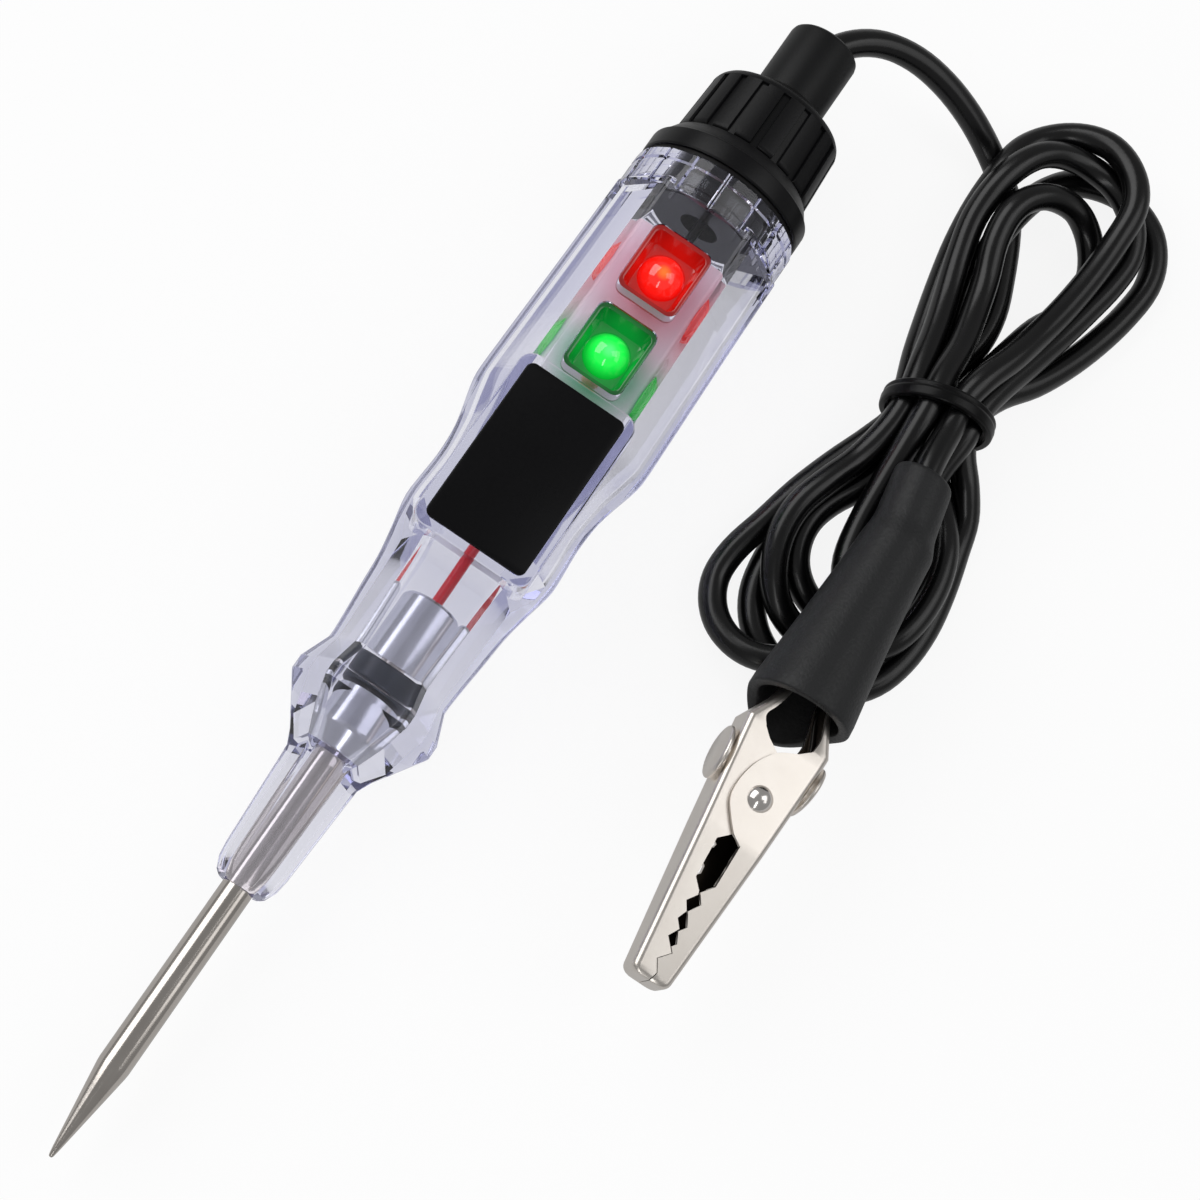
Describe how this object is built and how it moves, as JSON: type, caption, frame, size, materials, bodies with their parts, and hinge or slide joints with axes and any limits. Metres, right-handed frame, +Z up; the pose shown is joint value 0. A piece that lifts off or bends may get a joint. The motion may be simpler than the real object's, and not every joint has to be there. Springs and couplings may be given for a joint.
{
  "type": "voltage test pen",
  "caption": "Test pen with a pointed steel probe, clear faceted handle with green and red lamps, ribbed screw cap, and a tied lead that ends in a sprung alligator clip with a boot.",
  "frame": {"origin": "on the floor, below the middle of the pen as it lies; the lead, hank and clip are left out of that middle", "axes": "+X from the probe's point towards the cap, along the pen seen from above; +Z up, the way the lamps face; the hank and clip lie on the -Y side"},
  "size_m": [0.158, 0.0563, 0.0206],
  "materials": {
    "clear_plastic": "clear moulded plastic, polished",
    "label_black": "matt black film",
    "green_plastic": "translucent green plastic",
    "red_plastic": "translucent red plastic",
    "board_laminate": "bare circuit board",
    "resistor_body": "painted resistor",
    "probe_nickel": "polished nickel plate",
    "tinned_metal": "tinned metal",
    "seal_rubber": "dark rubber",
    "wire_red": "red insulation",
    "lead_black": "glossy black PVC",
    "cap_black": "satin black moulded plastic",
    "soft_black": "soft black PVC, fine grain",
    "clip_steel": "satin nickel-plated steel",
    "spring_wire": "dark spring steel"
  },
  "bodies": {
    "pen": {"handle_shell": "clear_plastic", "label_plate": "label_black", "green_window": "green_plastic", "red_window": "red_plastic", "green_lamp": "green_plastic", "red_lamp": "red_plastic", "circuit_board": "board_laminate", "board_resistors": "resistor_body", "probe_rod": "probe_nickel", "probe_ferrule": "tinned_metal", "seal_ring": "seal_rubber", "contact_barrel": "tinned_metal", "red_wire": "wire_red", "black_wire": "lead_black", "cap_gasket": "seal_rubber", "screw_cap": "cap_black", "cord_sleeve": "soft_black", "lead_tail": "lead_black", "lead_hank": "lead_black", "lead_end": "lead_black", "hank_tie": "cap_black", "clip_boot": "soft_black", "fixed_jaw": "clip_steel", "clip_rivet": "clip_steel", "clip_spring": "spring_wire", "fixed_screw": "clip_steel", "fixed_nut": "clip_steel", "lead_ferrule": "tinned_metal"},
    "jaw": {"moving_jaw": "clip_steel", "moving_screw": "clip_steel", "moving_nut": "clip_steel"}
  },
  "joints": [
    {"name": "jaw_open", "type": "hinge", "parent": "pen", "child": "jaw", "pos_m": [-0.00504, -0.03764, 0.01192], "axis": [0.0074, -0.1563, 0.9877], "range_deg": [0, 10], "stiffness_Nm_per_rad": 0.03, "springref_deg": -45.84, "deforming": ["clip_spring"]}
  ]
}
